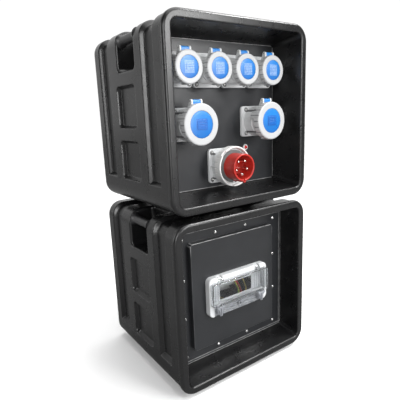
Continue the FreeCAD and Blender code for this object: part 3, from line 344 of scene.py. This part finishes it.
def metal(name, colour, rough, brushed=(1, 1, 1)):
    """Bare metal with cloudy tarnish, its grain drawn out where it is brushed."""
    g = Graph(name)
    grain = g.noise(900.0, 3.0, g.stretched(brushed))
    dull = g.spread(g.noise(90.0, 4.0), 0.4, 0.7, 0.0, 1.0)
    g.set("Base Color", g.mix_colour(dull, colour, [c * (1 - TARNISH) for c in colour]))
    g.set("Metallic", 1.0)
    g.set("Roughness", g.spread(grain, *BROAD, rough - 0.06, rough + 0.08))
    g.set("Normal", g.bump(grain, 0.00002, g.edges(0.0003)[1]))
    return g.mat


def clear_plastic(name):
    """Clear cover with a little haze and fine scratches."""
    g = Graph(name)
    haze = g.noise(45.0, 4.0)
    scratch = g.noise(500.0, 2.0, g.stretched((0.2, 1.0, 1.0)))
    g.set("Base Color", g.mix_colour(haze, (0.93, 0.95, 0.96), (0.98, 0.99, 1.0)))
    g.set("Roughness", g.spread(haze, *BROAD, 0.04, 0.12))
    g.set("Transmission Weight", 1.0)
    g.set("IOR", 1.45)
    g.set("Normal", g.bump(scratch, 0.00001, strength=0.6))
    return g.mat


MATERIALS = {
    # the shell's pale edges are mostly a painted highlight along its rounded edges, with some rubbed
    # wear
    "shell": moulded("shell_plastic", (0.006, 0.006, 0.0063), rough=0.29, grain=700.0,
                     depth=0.00005, edge=0.0028, wear_and_highlight=0.55, wear_and_highlight_colour=(0.30, 0.30, 0.30)),
    "bar": moulded("bar_plastic", (0.022, 0.022, 0.023), rough=0.38, grain=900.0, depth=0.00008),
    "pad": moulded("pad_rubber", (0.014, 0.014, 0.014), rough=0.8, grain=500.0, depth=0.0002),
    "cover": panel_paint("cover_paint", "raised_cover", (0.0009,), 0.12),
    "panel_upper": panel_paint("panel_paint_upper", "device_plate", (0.0009,)),
    "panel_lower": panel_paint("panel_paint_lower", "frame_plate", (0.0009, 0.0068)),
    "seal": moulded("seal_rubber", (0.02, 0.02, 0.02), rough=0.75, grain=600.0, depth=0.0002),
    "red": moulded("inlet_red", (0.42, 0.022, 0.015), rough=0.30, grain=1500.0, mottle=0.08),
    "inlet_ring": moulded("inlet_ring_white", (0.72, 0.72, 0.71), rough=0.30, grain=1500.0,
                          mottle=0.04),
    "gasket": moulded("gasket_grey", (0.11, 0.12, 0.12), rough=0.7, grain=700.0),
    "carrier": moulded("carrier_grey", (0.10, 0.10, 0.11), rough=0.5),
    "latch": moulded("latch_smoke", (0.22, 0.23, 0.25), rough=0.22, grain=1500.0),
    "gear": moulded("gear_grey", (0.55, 0.56, 0.56), rough=0.42, grain=1600.0, mottle=0.04),
    "toggle": moulded("toggle_black", (0.02, 0.02, 0.022), rough=0.3),
    "toggle_blue": moulded("toggle_blue", (0.03, 0.10, 0.35), rough=0.3),
    "button": moulded("button_yellow", (0.75, 0.45, 0.02), rough=0.3),
    "lamp_white": moulded("lamp_white", (0.75, 0.75, 0.74), rough=0.25),
    "lamp_red": moulded("lamp_red", (0.60, 0.01, 0.01), rough=0.15, coat=0.5),
    "cable": moulded("cable_black", (0.02, 0.02, 0.02), rough=0.6),
    "earth": earth_wire("wire_earth"),
    "line": moulded("wire_line", (0.45, 0.03, 0.02), rough=0.4),
    "neutral": moulded("wire_neutral", (0.45, 0.34, 0.05), rough=0.4),
    "steel": metal("screw_steel", (0.80, 0.80, 0.79), rough=0.25),
    "zinc": metal("rail_zinc", (0.62, 0.62, 0.60), rough=0.35, brushed=(0.05, 1, 1)),
    "nickel": metal("pin_nickel", (0.86, 0.84, 0.80), rough=0.18),
    "brass": metal("contact_brass", (0.78, 0.60, 0.28), rough=0.3),
    "clear": clear_plastic("window_clear"),
}
LOOKS = {
    "shell": ["lower_shell", "upper_shell", "lower_front_frame", "upper_front_frame"],
    "bar": ["lower_handle_bars", "upper_handle_bars"],
    "pad": ["lower_pads", "upper_pads"], "cover": ["raised_cover"],
    "panel_upper": ["device_plate"], "panel_lower": ["frame_plate"],
    "seal": ["upper_seals", "frame_seal"], "red": ["inlet_shroud"], "inlet_ring": ["inlet_ring"],
    "gasket": ["inlet_seal"], "carrier": ["contact_carriers"], "window": ["window_base"],
    "latch": ["window_catch_1", "window_catch_2"], "gear": ["rcd_body", "mcb_bodies"],
    "toggle": ["mcb_toggle_1", "mcb_toggle_2", "mcb_toggle_3"], "toggle_blue": ["rcd_toggle"],
    "button": ["rcd_button"], "lamp_white": ["lamp_bezel"], "lamp_red": ["lamp_lens"],
    "cable": ["upper_cables"],
    "earth": ["wire_earth"], "line": ["wire_line"], "neutral": ["wire_neutral"],
    "steel": ["upper_fixings", "lower_fixings"], "zinc": ["din_rail"],
    "nickel": ["inlet_pins", "lid_hinge_pins"],
    "brass": ["contact_sleeves", "terminal_bars"], "clear": ["window_cover"],
}
SMALL = dict(disc=0.022, pad=(0.0120, 0.0125), pad_colour=(0.30, 0.42, 0.62),
             screws=(0.030, 0.030))
LARGE = dict(disc=0.028, pad=(0.0150, 0.0125), pad_colour=(0.004, 0.06, 0.32),
             screws=(0.0275, 0.0285))
OUTLETS = {"outlet_small_%d" % n: SMALL for n in (1, 2, 3, 4)}
OUTLETS.update({"outlet_large_%d" % n: LARGE for n in (1, 2)})


def centre_of(node):
    lo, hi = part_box(node)
    return (lo + hi) / 2


for name, sizes in OUTLETS.items():
    at = centre_of(name + "_ring")
    MATERIALS[name + "_lid"] = lid_plastic(name + "_blue", at.x, at.z, sizes["disc"], sizes["pad"],
                                           sizes["pad_colour"])
    MATERIALS[name + "_ring"] = ring_plastic(name + "_white", at.x, at.z)
    MATERIALS[name + "_housing"] = housing_plastic(name + "_grey", at.x, at.z, *sizes["screws"])
    for part in ("_lid", "_ring", "_housing"):
        LOOKS[name + part] = [name + part]
cover_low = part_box("window_cover")[0]
MATERIALS["window"] = window_plastic("window_grey", cover_low.z + 0.001)
at = centre_of("inlet_ring")
MATERIALS["inlet_housing"] = housing_plastic("inlet_grey", at.x, at.z, 0.034, 0.032)
LOOKS["inlet_housing"] = ["inlet_housing"]
for look, names in LOOKS.items():
    for name in names:
        for slot in NODES[name].material_slots:
            slot.material = MATERIALS[look]

# ------------------------------------------------------------------ wires behind the window
WIRE_SIDES, WIRE_STEPS = 12, 10  # sides of a wire, and steps from one point to the next
# Each look's CAD node, radius and routes. The arcs in front of the slot follow the photograph.
WIRES = {
    "earth": ("wire_earth", 0.0021, [
        [(0.004, -0.046, 0.255), (0.006, -0.074, 0.266), (0.011, -0.096, 0.245),
         (0.0171, -0.100, 0.2168), (0.0237, -0.100, 0.2092), (0.0319, -0.100, 0.1954),
         (0.0372, -0.100, 0.1824), (0.0394, -0.099, 0.1700), (0.0400, -0.086, 0.142),
         (0.045, -0.030, 0.106), (0.046, 0.055, 0.092), (0.0445, 0.156, 0.132)],
        [(-0.096, 0.145, 0.068), (-0.080, 0.065, 0.048), (-0.030, -0.005, 0.068),
         (0.008, -0.045, 0.118), (0.0175, 0.065, 0.130), (0.0175, 0.156, 0.132)],
    ]),
    "line": ("wire_line", 0.0019, [
        [(0.018, -0.046, 0.255), (0.019, -0.078, 0.266), (0.022, -0.099, 0.235),
         (0.0272, -0.100, 0.2111), (0.0339, -0.100, 0.2020), (0.0416, -0.100, 0.1897),
         (0.0462, -0.100, 0.1782), (0.0489, -0.099, 0.1690), (0.055, -0.082, 0.138),
         (0.068, -0.010, 0.098), (0.078, 0.045, 0.080), (0.082, 0.145, 0.068)],
        [(0.0318, -0.046, 0.2555), (0.038, -0.078, 0.264), (0.070, -0.088, 0.244),
         (0.088, -0.078, 0.200), (0.092, 0.000, 0.148), (0.096, 0.115, 0.078)],
    ]),
    "neutral": ("wire_neutral", 0.0016, [
        [(-0.020, -0.046, 0.255), (-0.006, -0.080, 0.268), (0.030, -0.096, 0.258),
         (0.0485, -0.099, 0.228), (0.0543, -0.100, 0.2062), (0.0587, -0.100, 0.1963),
         (0.0628, -0.100, 0.1849), (0.0661, -0.099, 0.1708), (0.067, -0.082, 0.142),
         (0.064, 0.000, 0.105), (0.060, 0.085, 0.120), (0.0445, 0.156, 0.172)],
        [(-0.052, -0.045, 0.168), (-0.054, -0.065, 0.148), (-0.050, 0.015, 0.126),
         (-0.026, 0.095, 0.158), (-0.0095, 0.156, 0.172)],
    ]),
}


def smooth_path(points):
    """Points of a curve that runs through all these points without corners."""
    points = [Vector(p) for p in points]
    ends = [2 * points[0] - points[1]] + points + [2 * points[-1] - points[-2]]
    path = []
    for p0, p1, p2, p3 in zip(ends, ends[1:], ends[2:], ends[3:]):
        for step in range(WIRE_STEPS):
            t = step / WIRE_STEPS
            path.append(0.5 * (2 * p1 + (p2 - p0) * t + (2 * p0 - 5 * p1 + 4 * p2 - p3) * t ** 2
                               + (3 * p1 - p0 - 3 * p2 + p3) * t ** 3))
    return path + [points[-1]]


def wires(node, radius, paths):
    """Round closed wires along paths, shown in place of a CAD node of wires."""
    verts, faces = [], []
    for path in map(smooth_path, paths):
        first = len(verts)
        side = Vector((0, 0, 1)).cross(path[1] - path[0]).normalized()
        for index, point in enumerate(path):
            along = (path[min(index + 1, len(path) - 1)] - path[max(index - 1, 0)]).normalized()
            side = (side - along * side.dot(along)).normalized()
            other = along.cross(side)
            for k in range(WIRE_SIDES):
                angle = 2 * math.pi * k / WIRE_SIDES
                verts.append(point + radius * (math.cos(angle) * side + math.sin(angle) * other))
        for index in range(len(path) - 1):
            ring = first + index * WIRE_SIDES
            for k in range(WIRE_SIDES):
                n = (k + 1) % WIRE_SIDES
                faces.append((ring + k, ring + n, ring + n + WIRE_SIDES, ring + k + WIRE_SIDES))
        last = first + (len(path) - 1) * WIRE_SIDES
        faces.append([first + k for k in reversed(range(WIRE_SIDES))])
        faces.append([last + k for k in range(WIRE_SIDES)])
    mesh = bpy.data.meshes.new(node + "_visual")
    mesh.from_pydata(verts, [], faces)
    for face in mesh.polygons:
        face.use_smooth = len(face.vertices) == 4
    piece = bpy.data.objects.new(node + "_visual", mesh)
    bpy.context.collection.objects.link(piece)
    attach(piece, "breaker_module")
    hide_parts(node)
    return piece


for look, (node, radius, paths) in WIRES.items():
    piece = wires(node, radius, paths)
    piece.data.materials.append(MATERIALS[look])

# ------------------------------------------------------------------ floor and world
# The camera sees both as white, but the floor bounces less light than a white one would, and the
# world is bright only behind the object.
FLOOR_SIZE, FLOOR_GAP = 30.0, 0.0005
FLOOR_LOW, FLOOR_HIGH, FLOOR_BOUNCE = (0.86, 0.86, 0.86), (0.90, 0.90, 0.90), (0.22, 0.22, 0.22)
ROOM, BACKDROP = 0.04, 1.05  # the world's strength in front of the object and behind it
BEHIND = (0.565, 0.825, 0.0)  # from the front left, where the camera stands at rest, to the back
BACKDROP_COSINES = (0.10, 0.8)  # against that direction, where the backdrop starts and is full

bpy.ops.mesh.primitive_plane_add(size=FLOOR_SIZE, location=(0, 0, cad_lo.z - FLOOR_GAP))
floor = bpy.context.object
floor.name = "floor"
paint = Graph("floor_white")
seen = paint.add("ShaderNodeLightPath").outputs["Is Camera Ray"]
white = paint.mix_colour(paint.noise(2.0), FLOOR_LOW, FLOOR_HIGH)
paint.set("Base Color", paint.mix_colour(seen, FLOOR_BOUNCE, white))
paint.set("Roughness", 0.9)
floor.data.materials.append(paint.mat)

world = bpy.data.worlds.new("studio")
bpy.context.scene.world = world
world.use_nodes = True
sky = world.node_tree
background = sky.nodes["Background"]
background.inputs["Color"].default_value = (1.0, 1.0, 1.0, 1.0)
toward = sky.nodes.new("ShaderNodeTexCoord").outputs["Generated"]
facing = sky.nodes.new("ShaderNodeVectorMath")
facing.operation = "DOT_PRODUCT"
facing.inputs[1].default_value = BEHIND
sky.links.new(toward, facing.inputs[0])
ramp = sky.nodes.new("ShaderNodeMapRange")
ramp.interpolation_type = "SMOOTHSTEP"
for socket, number in (("From Min", BACKDROP_COSINES[0]), ("From Max", BACKDROP_COSINES[1]),
                       ("To Min", ROOM), ("To Max", BACKDROP)):
    ramp.inputs[socket].default_value = number
sky.links.new(facing.outputs["Value"], ramp.inputs["Value"])
direct = sky.nodes.new("ShaderNodeMath")
direct.operation = "MULTIPLY"
direct.inputs[1].default_value = BACKDROP
sky.links.new(sky.nodes.new("ShaderNodeLightPath").outputs["Is Camera Ray"], direct.inputs[0])
strength = sky.nodes.new("ShaderNodeMath")
strength.operation = "MAXIMUM"
sky.links.new(ramp.outputs["Result"], strength.inputs[0])
sky.links.new(direct.outputs[0], strength.inputs[1])
sky.links.new(strength.outputs[0], background.inputs["Strength"])

# ------------------------------------------------------------------ lights
CENTRE = (cad_lo + cad_hi) / 2
SOFTBOXES = {  # place, width and height, watts
    "key": ((1.05, -2.55, 1.60), (1.3, 1.1), 56.0),
    "side": ((-2.6, 1.6, 1.3), (1.2, 2.4), 36.0),
    "left": ((-1.75, -2.3, 1.2), (0.7, 2.0), 52.0),
    "low": ((0.75, -2.6, 0.75), (0.5, 0.9), 16.0),
    "top": ((1.45, -0.85, 2.5), (0.45, 0.45), 42.0),
}
OVERHEAD_FROM, OVERHEAD_ENERGY, OVERHEAD_ANGLE = (0.30, -0.16, 0.9), 3.1, math.radians(70.0)


def light(name, kind, energy, source):
    """A light that shines from source, a direction, and its settings."""
    data = bpy.data.lights.new(name, kind)
    data.energy = energy
    lamp = bpy.data.objects.new(name, data)
    bpy.context.collection.objects.link(lamp)
    lamp.rotation_mode = "QUATERNION"
    lamp.rotation_quaternion = Vector(source).to_track_quat("Z", "Y")
    return lamp, data


for name, (place, size, watts) in SOFTBOXES.items():
    lamp, data = light(name, "AREA", watts, Vector(place) - CENTRE)
    lamp.location = place
    data.shape = "RECTANGLE"
    data.size, data.size_y = size
lamp, data = light("overhead", "SUN", OVERHEAD_ENERGY, OVERHEAD_FROM)
data.angle = OVERHEAD_ANGLE

# ------------------------------------------------------------------ camera
EYE = Vector((-0.586, -0.848, 0.638))
AZIMUTH, ELEVATION, ROLL = (math.radians(a) for a in (-34.437, 12.232, -2.369))
LENS, SENSOR = 35.04, 36.0
back = Vector((math.sin(AZIMUTH) * math.cos(ELEVATION), -math.cos(AZIMUTH) * math.cos(ELEVATION),
               math.sin(ELEVATION)))
right = Vector((0, 0, 1)).cross(back).normalized()
above = back.cross(right)
right, above = (math.cos(ROLL) * right + math.sin(ROLL) * above,
                math.cos(ROLL) * above - math.sin(ROLL) * right)
camera = bpy.data.objects.new("camera", bpy.data.cameras.new("camera"))
bpy.context.collection.objects.link(camera)
camera.data.sensor_width = SENSOR
camera.data.lens = LENS
camera.rotation_mode = "QUATERNION"
camera.rotation_quaternion = Matrix((right, above, back)).transposed().to_quaternion()
camera.location = EYE
bpy.context.scene.camera = camera
bpy.context.scene.view_settings.view_transform = "Standard"
